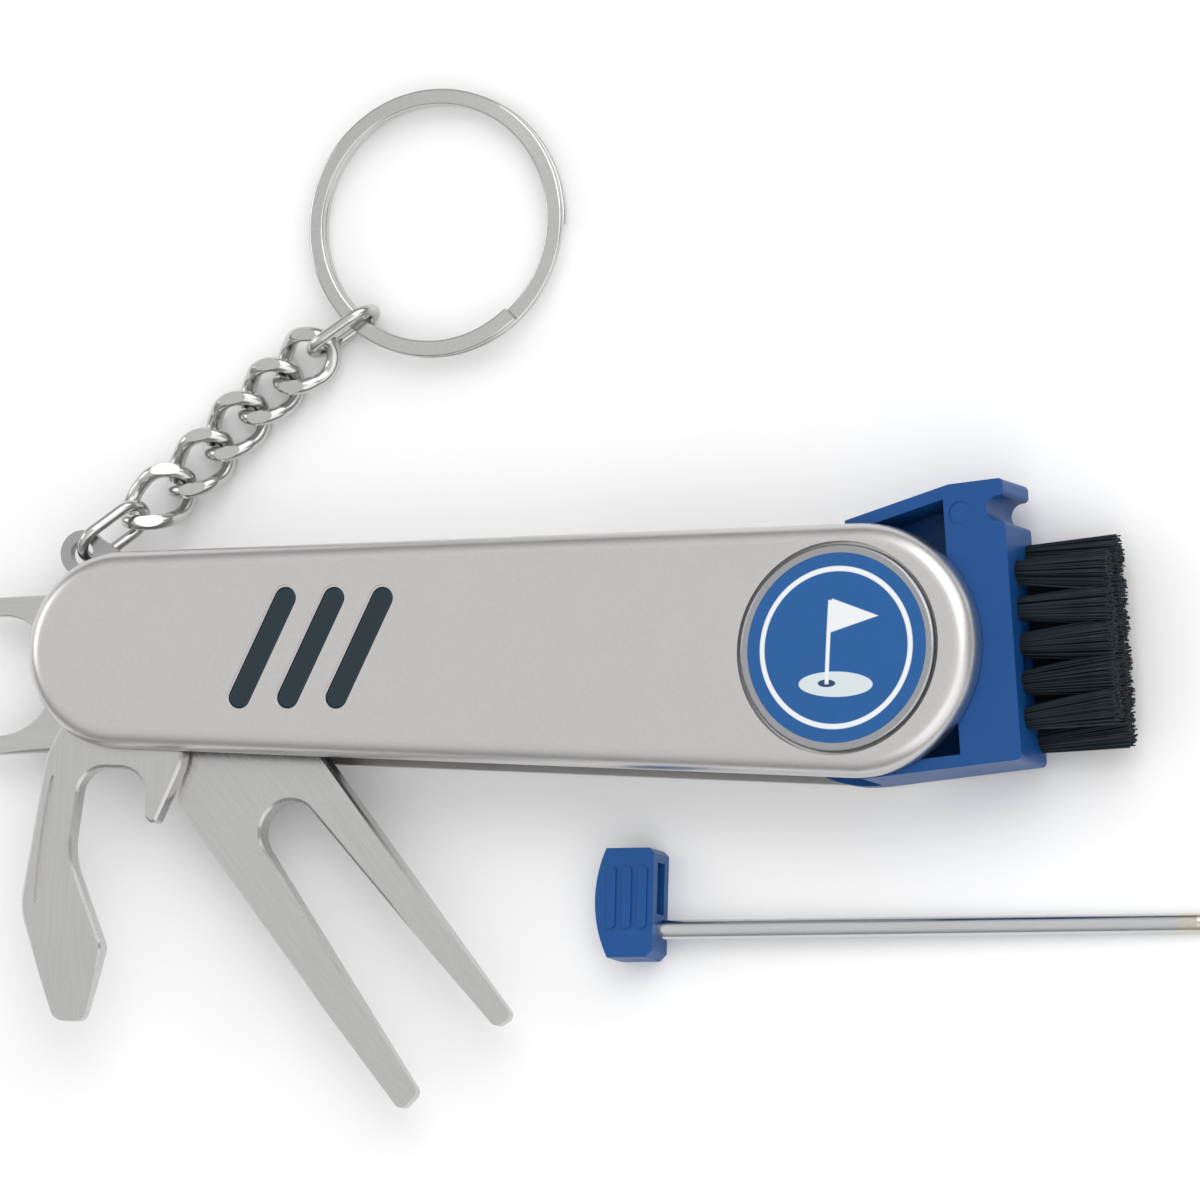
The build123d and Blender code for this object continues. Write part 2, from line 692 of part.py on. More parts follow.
with BuildPart() as brush_carrier:
    with BuildSketch(pivot_plane(brush_pivot_x, carrier_base, brush_direction)):
        carrier_outline(0)
    extrude(amount=carrier_thickness)
    # tray between the rails, over the floor
    with BuildSketch(pivot_plane(brush_pivot_x, carrier_base + carrier_floor, brush_direction)):
        carrier_outline(carrier_rail)
        with Locations((block_start, 0)):
            Rectangle(carrier_block + 1, 3 * carrier_radius, align=(Align.MIN, Align.CENTER),
                      mode=Mode.SUBTRACT)
    extrude(amount=carrier_thickness, mode=Mode.SUBTRACT)
    # the round end is open above the floor, so that the pen's head can sit there
    with BuildSketch(pivot_plane(brush_pivot_x, carrier_base + carrier_floor, brush_direction)):
        with Locations((0, 0)):
            Rectangle(2 * carrier_radius, 3 * carrier_radius, align=(Align.MAX, Align.CENTER))
    extrude(amount=carrier_thickness, mode=Mode.SUBTRACT)
    # hub
    with BuildSketch(pivot_plane(brush_pivot_x, carrier_base, brush_direction)):
        Circle(carrier_hub_radius)
    extrude(amount=carrier_hub_height)
    with BuildSketch(pivot_plane(brush_pivot_x, carrier_base, brush_direction)):
        Circle(brush_pivot_radius + running_clearance)
    extrude(amount=carrier_thickness, mode=Mode.SUBTRACT)
    # thumb catch: a round notch under the crest
    with BuildSketch(pivot_plane(brush_pivot_x, carrier_base, brush_direction)):
        with Locations((carrier_reach - catch_notch_radius / 2, catch_notch_y)):
            Circle(catch_notch_radius)
        with Locations((carrier_reach - catch_notch_radius / 2, catch_notch_y)):
            Rectangle(3 * catch_notch_radius, 1.6 * catch_notch_radius,
                      align=(Align.MIN, Align.CENTER))
    extrude(amount=carrier_thickness, mode=Mode.SUBTRACT)
    # a round sinking on the front face of the block
    with BuildSketch(pivot_plane(brush_pivot_x, carrier_base + carrier_thickness, brush_direction)):
        with Locations((block_start + boss_mark_radius + 0.6, catch_notch_y)):
            Circle(boss_mark_radius)
    extrude(amount=-boss_mark_depth, mode=Mode.SUBTRACT)
    # round the two outer corners
    outer = brush_carrier.edges().filter_by(Axis.Z)
    corners = [edge for edge in outer
               if edge.length > carrier_thickness - 0.01
               and (edge.center() - Vector(brush_pivot_x, 0, 0)).dot(Vector(*brush_along))
               > carrier_reach - 0.1]
    fillet(corners, carrier_corner_round * 0.6)
    # drilled sockets for the tufts
    for count, height in tuft_rows:
        with BuildSketch(tuft_face_plane(carrier_reach)):
            with Locations([(across, height) for across in tuft_places(count)]):
                Circle(tuft_radius + fit_clearance)
        extrude(amount=-tuft_root, mode=Mode.SUBTRACT)
    # passage for the pen, which runs through the block when both are put away
    with BuildSketch(tuft_face_plane(carrier_reach)):
        with Locations((pen_rod_offset, pen_passage_z)):
            Circle(pen_rod_radius + pen_hole_clearance)
    extrude(amount=-carrier_block - 1, mode=Mode.SUBTRACT)
save(brush_carrier.part, "brush_carrier")

# ---------------------------------------------------------------- bristles


def tuft_row(count, height, name):
    """A row of tufts, each narrow at its root and spread at its tip."""
    with BuildPart() as row:
        for across in tuft_places(count):
            with BuildSketch(tuft_face_plane(carrier_reach - tuft_root + fit_clearance)):
                with Locations((across, height)):
                    Circle(tuft_radius)
            extrude(amount=tuft_root)
            with BuildSketch(tuft_face_plane(carrier_reach)):
                with Locations((across, height)):
                    Circle(tuft_radius)
            with BuildSketch(tuft_face_plane(carrier_reach + tuft_length)):
                with Locations((across, height)):
                    Circle(tuft_tip_radius)
            loft()
    save(row.part, name)


tuft_row(*tuft_rows[0], "front_bristles")
tuft_row(*tuft_rows[1], "back_bristles")

# ---------------------------------------------------------------- pen insert
# The pen rests on the inner edge of its head and on its point, so it dips a little.
pen_point_length = pen_point_collar + pen_point_cone + pen_nib_length
pen_reach = pen_rod_length + pen_point_length
pen_dip = asin((pen_head_thickness / 2 - pen_nib_radius) / pen_reach)
pen_bearing = radians(pen_turn)
pen_along = Vector(cos(pen_bearing) * cos(pen_dip), sin(pen_bearing) * cos(pen_dip), -sin(pen_dip))
pen_up = Vector(cos(pen_bearing) * sin(pen_dip), sin(pen_bearing) * sin(pen_dip), cos(pen_dip))
pen_origin = Vector(blade_pivot_x + pen_x, pen_y, 0)
pen_plane = Plane(origin=pen_origin, x_dir=pen_along, z_dir=pen_up)


def pen_section(distance):
    """Plane across the rod, with its origin on the rod's axis."""
    across = pen_plane.y_dir
    axis_point = (pen_origin + pen_along * distance + across * pen_rod_offset
                  + pen_up * (pen_head_thickness / 2))
    return Plane(origin=axis_point, x_dir=across, z_dir=pen_along)


pen_arc_centre = big_end_radius - pen_head_depth
pen_corner_high = pen_arc_centre - sqrt(big_end_radius**2 - pen_head_high**2)
pen_corner_low = pen_arc_centre - sqrt(big_end_radius**2 - pen_head_low**2)
with BuildPart() as pen_head:
    with BuildSketch(pen_plane):
        with BuildLine():
            Polyline((pen_corner_low, pen_head_low), (-0.8, pen_head_low), (0, pen_head_low + 0.8),
                     (0, pen_head_high - 0.6), (-0.6, pen_head_high),
                     (pen_corner_high, pen_head_high))
            ThreePointArc((pen_corner_high, pen_head_high), (-pen_head_depth, 0),
                          (pen_corner_low, pen_head_low))
        make_face()
    extrude(amount=pen_head_thickness)
    chamfer(pen_head.edges().group_by(Axis.X)[0], 0.3)
    # grip ribs on the front face
    with BuildSketch(pen_plane.offset(pen_head_thickness)):
        with Locations((-pen_head_depth / 2 + 0.35, 0.2)):
            with GridLocations(pen_rib_pitch, 1, pen_rib_count, 1):
                SlotOverall(pen_rib_length, pen_rib_width, rotation=90)
    extrude(amount=pen_rib_rise)
    # pocket in the inner face, and the socket that holds the rod
    with BuildSketch(Plane(origin=pen_origin, x_dir=pen_plane.y_dir, z_dir=pen_along)):
        with Locations((1.4, pen_head_thickness / 2)):
            Rectangle(6.0, 2.4)
    extrude(amount=-3.8, mode=Mode.SUBTRACT)
    with BuildSketch(pen_section(0)):
        Circle(pen_rod_radius + fit_clearance)
    extrude(amount=-pen_socket_depth, mode=Mode.SUBTRACT)
save(pen_head.part, "pen_head")

with BuildPart() as pen_refill:
    with BuildSketch(pen_section(-pen_socket_depth + fit_clearance)):
        Circle(pen_rod_radius)
    extrude(amount=pen_socket_depth + pen_rod_length - fit_clearance)
save(pen_refill.part, "pen_refill")

with BuildPart() as pen_point:
    with BuildSketch(pen_section(pen_rod_length)):
        Circle(pen_rod_radius)
    extrude(amount=pen_point_collar)
    with BuildSketch(pen_section(pen_rod_length + pen_point_collar)):
        Circle(pen_rod_radius)
    with BuildSketch(pen_section(pen_rod_length + pen_point_collar + pen_point_cone)):
        Circle(pen_nib_radius)
    loft()
    with BuildSketch(pen_section(pen_rod_length + pen_point_collar + pen_point_cone)):
        Circle(pen_nib_radius)
    extrude(amount=pen_nib_length)
    fillet(pen_point.edges().sort_by(Axis.X)[-1], pen_nib_radius * 0.9)
save(pen_point.part, "pen_point")

# ---------------------------------------------------------------- chain


def link_plane(start, end, roll):
    """Plane of a link that spans two junctions: X along it, turned by roll about X."""
    first = Vector(blade_pivot_x + start[0], start[1], start[2])
    last = Vector(blade_pivot_x + end[0], end[1], end[2])
    along = (last - first).normalized()
    level = Vector(0, 0, 1).cross(along).normalized()
    turn = radians(roll)
    across = level * cos(turn) + along.cross(level) * sin(turn)
    return Plane(origin=(first + last) * 0.5, x_dir=along, z_dir=along.cross(across)), (last - first).length


def plain_link(start, end, name, roll, extra_start=0.0, extra_end=0.0):
    """Oval link of round wire, rolled about its length."""
    plane, span = link_plane(start, end, roll)
    bend = (plain_width - plain_wire) / 2
    left = -span / 2 - (plain_wire + link_clearance) / 2 - extra_start + bend
    right = span / 2 + (plain_wire + link_clearance) / 2 + extra_end - bend
    with BuildPart() as link:
        with BuildLine(plane):
            Line((left, bend), (right, bend))
            ThreePointArc((right, bend), (right + bend, 0), (right, -bend))
            Line((right, -bend), (left, -bend))
            ThreePointArc((left, -bend), (left - bend, 0), (left, bend))
        start_point = plane.from_local_coords((left, bend, 0))
        with BuildSketch(Plane(origin=start_point, x_dir=plane.y_dir, z_dir=plane.x_dir)):
            Circle(plain_wire / 2)
        sweep()
    save(link.part, name)


def curb_link(start, end, name):
    """Oval link with a twist and ground flats, so that each one locks flat into the next."""
    plane, span = link_plane(start, end, 0)
    half_length = (span + curb_wire + link_clearance) / 2
    half_width = (curb_width - curb_wire) / 2

    def around(bearing):
        """A point of the wire's centre line, twisted more towards the ends."""
        roll = radians(curb_twist * cos(radians(bearing)))
        reach = half_width * sin(radians(bearing))
        return (half_length * cos(radians(bearing)), reach * cos(roll), reach * sin(roll))

    with BuildPart() as link:
        for bearing in range(0, 360, 90):
            with BuildLine(plane) as path:
                ThreePointArc(around(bearing), around(bearing + 45), around(bearing + 90))
            with BuildSketch(Plane(origin=path.line @ 0, z_dir=path.line % 0)):
                Circle(curb_wire / 2)
            sweep(path=path.line)
            with Locations(plane.from_local_coords(around(bearing))):
                Sphere(curb_wire / 2)
        with BuildSketch(plane.offset(-curb_thickness / 2)):
            Rectangle(4 * half_length, 4 * half_width)
        extrude(amount=curb_thickness, mode=Mode.INTERSECT)
    save(link.part, name)


last_joint = len(chain_joints) - 2
for number, (start, end) in enumerate(zip(chain_joints[:-1], chain_joints[1:])):
    name = f"chain_link_{number + 1}"
    if number == 0:
        plain_link(start, end, name, first_link_roll,
                   extra_start=-(plain_wire + link_clearance) / 2, extra_end=link_clearance / 2)
    elif number == last_joint:
        plain_link(start, end, name, last_link_roll,
                   extra_start=link_clearance * 0.9, extra_end=link_clearance / 2)
    else:
        curb_link(start, end, name)

# ---------------------------------------------------------------- split ring
ring_pitch = ring_wire_height + ring_coil_gap
ring_height = ring_turns * ring_pitch
last_point = chain_joints[-1]
coil_radius = ring_radius - ring_band / 2
ring_centre_distance = coil_radius - (ring_band + link_clearance) / 2
ring_away = radians(ring_bearing)
ring_tilt = asin((last_point[2] - (ring_height + ring_wire_height) / 2) / (2 * ring_radius))
ring_out = Vector(cos(ring_away) * cos(ring_tilt), sin(ring_away) * cos(ring_tilt), -sin(ring_tilt))
ring_up = Vector(cos(ring_away) * sin(ring_tilt), sin(ring_away) * sin(ring_tilt), cos(ring_tilt))
ring_side = ring_up.cross(ring_out)
ring_from = radians(ring_start - ring_bearing)
ring_first = ring_out * cos(ring_from) + ring_side * sin(ring_from)
ring_centre = (Vector(blade_pivot_x + last_point[0], last_point[1], last_point[2])
               + ring_out * ring_centre_distance)
ring_plane = Plane(origin=ring_centre - ring_up * (ring_height / 2), x_dir=ring_first, z_dir=ring_up)
with BuildPart() as key_ring:
    with BuildLine(ring_plane) as coil:
        Helix(ring_pitch, ring_height, coil_radius)
    with BuildSketch(Plane(origin=coil.line @ 0, x_dir=ring_first, z_dir=coil.line % 0)):
        RectangleRounded(ring_band, ring_wire_height, ring_wire_height * 0.3)
    sweep(is_frenet=True)
save(key_ring.part, "key_ring")
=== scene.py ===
# %% [markdown]
# # A golfer's folding pocket tool
#
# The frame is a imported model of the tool: every solid piece is already there, in metres,
# at its right place. This lesson dresses that frame. Hard pieces keep their own meshes and
# get finishes made of nodes; the soft brush is built again here out of single filaments.
# Everything is in one space: +X runs along the case towards the ball marker, +Z points
# out of the front scale, and the origin is under the case, on its back face.

# %% Load the frame
import math
import random

import bmesh
import bpy
from mathutils import Matrix, Vector


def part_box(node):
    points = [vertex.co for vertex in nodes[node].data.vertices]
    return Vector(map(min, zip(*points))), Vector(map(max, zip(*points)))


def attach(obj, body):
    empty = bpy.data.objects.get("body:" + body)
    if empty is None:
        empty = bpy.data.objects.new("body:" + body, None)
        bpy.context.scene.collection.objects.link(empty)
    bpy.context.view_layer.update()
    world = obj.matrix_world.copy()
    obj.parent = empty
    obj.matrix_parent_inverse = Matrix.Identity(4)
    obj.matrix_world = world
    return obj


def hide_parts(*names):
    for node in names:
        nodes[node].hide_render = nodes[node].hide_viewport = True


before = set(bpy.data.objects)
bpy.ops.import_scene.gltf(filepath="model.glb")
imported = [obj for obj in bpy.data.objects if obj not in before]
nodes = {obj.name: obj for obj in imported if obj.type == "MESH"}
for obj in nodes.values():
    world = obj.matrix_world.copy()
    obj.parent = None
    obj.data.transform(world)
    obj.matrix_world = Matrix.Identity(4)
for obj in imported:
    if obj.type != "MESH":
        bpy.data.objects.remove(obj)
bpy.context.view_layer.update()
MM = 0.001
random.seed(7)

# %% [markdown]
# ## Places that are used again
#
# A finish that follows a piece needs to know where the piece is. The two pivots are
# the middles of their barrels.

# %% Measure the pivots and the marker


def middle(name):
    """Middle of a piece's box."""
    low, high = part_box(name)
    return (low + high) / 2


blade_pivot = middle("blade_pivot_barrel")
brush_pivot = middle("brush_pivot_barrel")
marker_low, marker_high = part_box("marker_enamel")
marker_centre = (marker_low + marker_high) / 2
case_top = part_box("front_scale")[1].z
print("pivots", blade_pivot.to_tuple(4), brush_pivot.to_tuple(4), "top", round(case_top, 4))

# %% [markdown]
# ## Small helpers for shader graphs
#
# Shader graphs written by hand get long, because each node takes a line to make, a line
# to set and a line to join. `add_node` makes a node with its values in one call, and
# `join` links two sockets. All the finishes below are written with these two.

# %% Node helpers


def add_node(tree, kind, **values):
    """Make a node. Names with spaces are written with underscores."""
    node = tree.nodes.new(kind)
    for key, value in values.items():
        socket = key.replace("_", " ")
        if hasattr(node, key):
            setattr(node, key, value)
        elif socket in node.inputs:
            node.inputs[socket].default_value = value
        else:
            raise KeyError(f"{kind} has no {key}")
    return node


def join(tree, source, target):
    """Link an output socket to an input socket."""
    tree.links.new(source, target)


def new_finish(name, **surface):
    """A material with one Principled BSDF, and its tree and shader."""
    material = bpy.data.materials.new(name)
    material.use_nodes = True
    tree = material.node_tree
    shader = tree.nodes["Principled BSDF"]
    for key, value in surface.items():
        shader.inputs[key.replace("_", " ")].default_value = value
    return material, tree, shader


def new_group(name, inputs, outputs):
    """An empty node group with named sockets: {name: (kind, default)} and {name: kind}."""
    group = bpy.data.node_groups.new(name, "ShaderNodeTree")
    for label, (kind, default) in inputs.items():
        socket = group.interface.new_socket(label, in_out="INPUT", socket_type=kind)
        socket.default_value = default
    for label, kind in outputs.items():
        group.interface.new_socket(label, in_out="OUTPUT", socket_type=kind)
    start = group.nodes.new("NodeGroupInput")
    end = group.nodes.new("NodeGroupOutput")
    return group, start.outputs, end.inputs


FLOAT = "NodeSocketFloat"
COLOUR = "NodeSocketColor"
VECTOR = "NodeSocketVector"

# %% [markdown]
# ## Metal grain, built once
#
# Steel that has been ground or satin-finished is never even: it has fine parallel
# scratches, and slow clouds where hands have polished it. Both can be one node group,
# because the scales, the blades and the pins differ only in how coarse and how strong
# the effect is. A noise texture that is squeezed along one axis gives scratches; the
# same noise left round gives the clouds. The group puts out a roughness, a normal and the
# grain itself as a mask, and each steel feeds them to its own shader.

# %% Group: metal grain


def metal_grain():
    group, given, out = new_group(
        "Metal grain",
        {
            "Along": (VECTOR, (60.0, 2500.0, 2500.0)),
            "Turn": (VECTOR, (0.0, 0.0, 0.0)),
            "Roughness": (FLOAT, 0.35),
            "Roughness spread": (FLOAT, 0.12),
            "Depth": (FLOAT, 0.2),
            "Clouds": (FLOAT, 140.0),
        },
        {"Roughness": FLOAT, "Normal": VECTOR, "Mask": FLOAT},
    )
    place = add_node(group, "ShaderNodeTexCoord")
    turned = add_node(group, "ShaderNodeMapping", vector_type="POINT")
    stretched = add_node(group, "ShaderNodeMapping", vector_type="POINT")
    join(group, place.outputs["Object"], turned.inputs["Vector"])
    join(group, given["Turn"], turned.inputs["Rotation"])
    join(group, turned.outputs["Vector"], stretched.inputs["Vector"])
    join(group, given["Along"], stretched.inputs["Scale"])
    scratch = add_node(group, "ShaderNodeTexNoise", Scale=1.0, Detail=4.0, Roughness=0.65)
    join(group, stretched.outputs["Vector"], scratch.inputs["Vector"])
    cloud = add_node(group, "ShaderNodeTexNoise", Detail=3.0, Roughness=0.5)
    join(group, place.outputs["Object"], cloud.inputs["Vector"])
    join(group, given["Clouds"], cloud.inputs["Scale"])
    both = add_node(group, "ShaderNodeMath", operation="ADD")
    join(group, scratch.outputs["Fac"], both.inputs[0])
    join(group, cloud.outputs["Fac"], both.inputs[1])
    centred = add_node(group, "ShaderNodeMath", operation="SUBTRACT")
    centred.inputs[1].default_value = 1.0
    join(group, both.outputs[0], centred.inputs[0])
    spread = add_node(group, "ShaderNodeMath", operation="MULTIPLY_ADD")
    join(group, centred.outputs[0], spread.inputs[0])
    join(group, given["Roughness spread"], spread.inputs[1])
    join(group, given["Roughness"], spread.inputs[2])
    bump = add_node(group, "ShaderNodeBump", Distance=0.00004)
    join(group, scratch.outputs["Fac"], bump.inputs["Height"])
    join(group, given["Depth"], bump.inputs["Strength"])
    join(group, spread.outputs[0], out["Roughness"])
    join(group, bump.outputs["Normal"], out["Normal"])
    join(group, scratch.outputs["Fac"], out["Mask"])
    return group


grain = metal_grain()
print("group", grain.name, "with", len(grain.nodes), "nodes")

# %% [markdown]
# ## Steel finishes
#
# The metals share the grain. The scales are satin, almost without direction, and a
# little warm. The blades are ground lengthways and brighter. The chain and the ring are
# plated, so they are near mirrors with only faint clouds. The colour of a metal goes in
# Base Color with Metallic at one, and a second tone mixed in by the grain's mask keeps
# large flats from looking painted.

# %% Steels


def steel(name, light, dark, roughness, spread, depth, along, turn=0.0, clouds=140.0):
    """A metal whose colour moves between two tones with its grain."""
    material, tree, shader = new_finish(name, Metallic=1.0)
    grained = add_node(tree, "ShaderNodeGroup", node_tree=grain)
    grained.inputs["Along"].default_value = along
    grained.inputs["Turn"].default_value = (0.0, 0.0, turn)
    grained.inputs["Roughness"].default_value = roughness
    grained.inputs["Roughness spread"].default_value = spread
    grained.inputs["Depth"].default_value = depth
    grained.inputs["Clouds"].default_value = clouds
    tone = add_node(tree, "ShaderNodeMix", data_type="RGBA")
    tone.inputs["A"].default_value = (*dark, 1.0)
    tone.inputs["B"].default_value = (*light, 1.0)
    join(tree, grained.outputs["Mask"], tone.inputs["Factor"])
    join(tree, tone.outputs["Result"], shader.inputs["Base Color"])
    join(tree, grained.outputs["Roughness"], shader.inputs["Roughness"])
    join(tree, grained.outputs["Normal"], shader.inputs["Normal"])
    return material


EVEN = (2600.0, 2600.0, 2600.0)
LENGTHWAYS = (90.0, 3200.0, 3200.0)
case_steel = steel("Scale steel, satin", (0.66, 0.65, 0.645), (0.57, 0.56, 0.555), 0.33, 0.10, 0.10, EVEN)
fork_steel = steel("Fork steel, ground", (0.62, 0.61, 0.60), (0.50, 0.50, 0.50), 0.27, 0.12, 0.16,
                   LENGTHWAYS, turn=math.radians(50))
opener_steel = steel("Opener steel, ground", (0.62, 0.61, 0.60), (0.50, 0.50, 0.50), 0.27, 0.12, 0.16,
                     LENGTHWAYS, turn=math.radians(90))
wrench_steel = steel("Wrench steel, ground", (0.62, 0.61, 0.60), (0.50, 0.50, 0.50), 0.27, 0.12, 0.16,
                     LENGTHWAYS)
spine_steel = steel("Spine steel", (0.45, 0.45, 0.45), (0.36, 0.36, 0.36), 0.35, 0.10, 0.12, LENGTHWAYS)
plated_steel = steel("Plated steel", (0.62, 0.62, 0.61), (0.52, 0.52, 0.51), 0.17, 0.08, 0.03, EVEN,
                     clouds=400.0)
refill_steel = steel("Refill tube", (0.66, 0.67, 0.68), (0.56, 0.57, 0.58), 0.20, 0.10, 0.08, LENGTHWAYS)
rim_steel = steel("Marker rim", (0.42, 0.43, 0.45), (0.34, 0.35, 0.37), 0.30, 0.12, 0.10, EVEN)
washer_brass = steel("Washer brass", (0.72, 0.52, 0.22), (0.60, 0.42, 0.17), 0.30, 0.10, 0.08, EVEN)
point_metal = steel("Pen point", (0.70, 0.67, 0.58), (0.60, 0.57, 0.50), 0.22, 0.08, 0.05, EVEN)
print("steels made")

# %% [markdown]
# ## Moulded plastics
#
# The brush carrier and the pen head are blue mouldings with a soft gloss, and the slot
# inlays are dark slate. Moulded plastic shows a very fine spark texture from its tool and
# slow differences in gloss. A noise at two scales does both: the fine one as a bump, the
# slow one on the roughness. A little subsurface keeps the blue from looking like paint.

# %% Plastics


def moulding(name, colour, shade, roughness, texture=5200.0, depth=0.12, inner=0.0):
    """A plastic that varies a little in tone and gloss."""
    material, tree, shader = new_finish(name)
    shader.inputs["IOR"].default_value = 1.46
    shader.inputs["Specular IOR Level"].default_value = 0.35
    if inner:
        shader.inputs["Subsurface Weight"].default_value = inner
        shader.inputs["Subsurface Scale"].default_value = 0.0004
    place = add_node(tree, "ShaderNodeTexCoord")
    slow = add_node(tree, "ShaderNodeTexNoise", Scale=260.0, Detail=3.0)
    fine = add_node(tree, "ShaderNodeTexNoise", Scale=texture, Detail=2.0)
    join(tree, place.outputs["Object"], slow.inputs["Vector"])
    join(tree, place.outputs["Object"], fine.inputs["Vector"])
    tone = add_node(tree, "ShaderNodeMix", data_type="RGBA")
    tone.inputs["A"].default_value = (*shade, 1.0)
    tone.inputs["B"].default_value = (*colour, 1.0)
    join(tree, slow.outputs["Fac"], tone.inputs["Factor"])
    join(tree, tone.outputs["Result"], shader.inputs["Base Color"])
    gloss = add_node(tree, "ShaderNodeMapRange")
    gloss.inputs["To Min"].default_value = roughness - 0.06
    gloss.inputs["To Max"].default_value = roughness + 0.06
    join(tree, slow.outputs["Fac"], gloss.inputs["Value"])
    join(tree, gloss.outputs["Result"], shader.inputs["Roughness"])
    bump = add_node(tree, "ShaderNodeBump", Strength=depth, Distance=0.00003)
    join(tree, fine.outputs["Fac"], bump.inputs["Height"])
    join(tree, bump.outputs["Normal"], shader.inputs["Normal"])
    return material


brush_blue = moulding("Brush blue", (0.007, 0.076, 0.270), (0.005, 0.062, 0.230), 0.38, inner=0.05)
pen_blue = moulding("Pen blue", (0.007, 0.080, 0.280), (0.005, 0.066, 0.240), 0.37, inner=0.05)
slate = moulding("Slot slate", (0.014, 0.030, 0.038), (0.010, 0.022, 0.030), 0.34)
bristle_nylon = moulding("Bristle nylon", (0.010, 0.020, 0.026), (0.006, 0.011, 0.016), 0.45, texture=900.0)
print("plastics made")

# %% [markdown]
# ## The marker's enamel
#
# A ball marker is a steel disc with a coloured enamel face under a clear dome. The
# picture on it is drawn with arithmetic instead of an image: the distance from the
# marker's axis gives rings, and simple inequalities in X and Y give a flag on its pin
# over a hole. Each shape is a mask between zero and one, and the masks are mixed over
# the blue in turn. A clear coat on top makes the dome look wet.

# %% Masks for drawing with arithmetic


def drawing_board(tree, centre):
    """Helpers that draw masks around a centre, with sizes in metres."""
    place = add_node(tree, "ShaderNodeTexCoord")
    shifted = add_node(tree, "ShaderNodeVectorMath", operation="SUBTRACT")
    shifted.inputs[1].default_value = centre
    join(tree, place.outputs["Object"], shifted.inputs[0])
    split = add_node(tree, "ShaderNodeSeparateXYZ")
    join(tree, shifted.outputs["Vector"], split.inputs["Vector"])
    return split.outputs["X"], split.outputs["Y"]


def calculate(tree, operation, first, second=None, third=None):
    """One Math node whose inputs are sockets or numbers."""
    node = add_node(tree, "ShaderNodeMath", operation=operation)
    for i, value in enumerate((first, second, third)):
        if value is None:
            continue
        if isinstance(value, (int, float)):
            node.inputs[i].default_value = value
        else:
            join(tree, value, node.inputs[i])
    return node.outputs[0]


def inside(tree, distance, soft=0.00005):
    """One where a signed distance is below zero, zero outside, with a soft edge."""
    ramp = add_node(tree, "ShaderNodeMapRange")
    ramp.inputs["From Min"].default_value = soft
    ramp.inputs["From Max"].default_value = -soft
    join(tree, distance, ramp.inputs["Value"])
    return ramp.outputs["Result"]


def box_distance(tree, x, y, at, half):
    """Signed distance to an upright rectangle, good enough for a crisp edge."""
    sides = []
    for value, middle_at, half_size in ((x, at[0], half[0]), (y, at[1], half[1])):
        away = calculate(tree, "ABSOLUTE", calculate(tree, "SUBTRACT", value, middle_at))
        sides.append(calculate(tree, "SUBTRACT", away, half_size))
    return calculate(tree, "MAXIMUM", sides[0], sides[1])


def ring_distance(tree, x, y, at, radius, squeeze=1.0):
    """Signed distance to a disc; squeeze flattens it in Y."""
    dx = calculate(tree, "SUBTRACT", x, at[0])
    dy = calculate(tree, "DIVIDE", calculate(tree, "SUBTRACT", y, at[1]), squeeze)
    length = calculate(tree, "SQRT", calculate(tree, "ADD", calculate(tree, "MULTIPLY", dx, dx),
                                               calculate(tree, "MULTIPLY", dy, dy)))
    return calculate(tree, "SUBTRACT", length, radius)


# %% The enamel itself


def paint(tree, under, mask, colour):
    """Mix a colour over what is already there, through a mask."""
    mix = add_node(tree, "ShaderNodeMix", data_type="RGBA")
    mix.inputs["B"].default_value = (*colour, 1.0)
    join(tree, mask, mix.inputs["Factor"])
    join(tree, under, mix.inputs["A"])
    return mix.outputs["Result"]


ENAMEL_BLUE = (0.004, 0.100, 0.330)
ENAMEL_WHITE = (0.78, 0.80, 0.82)


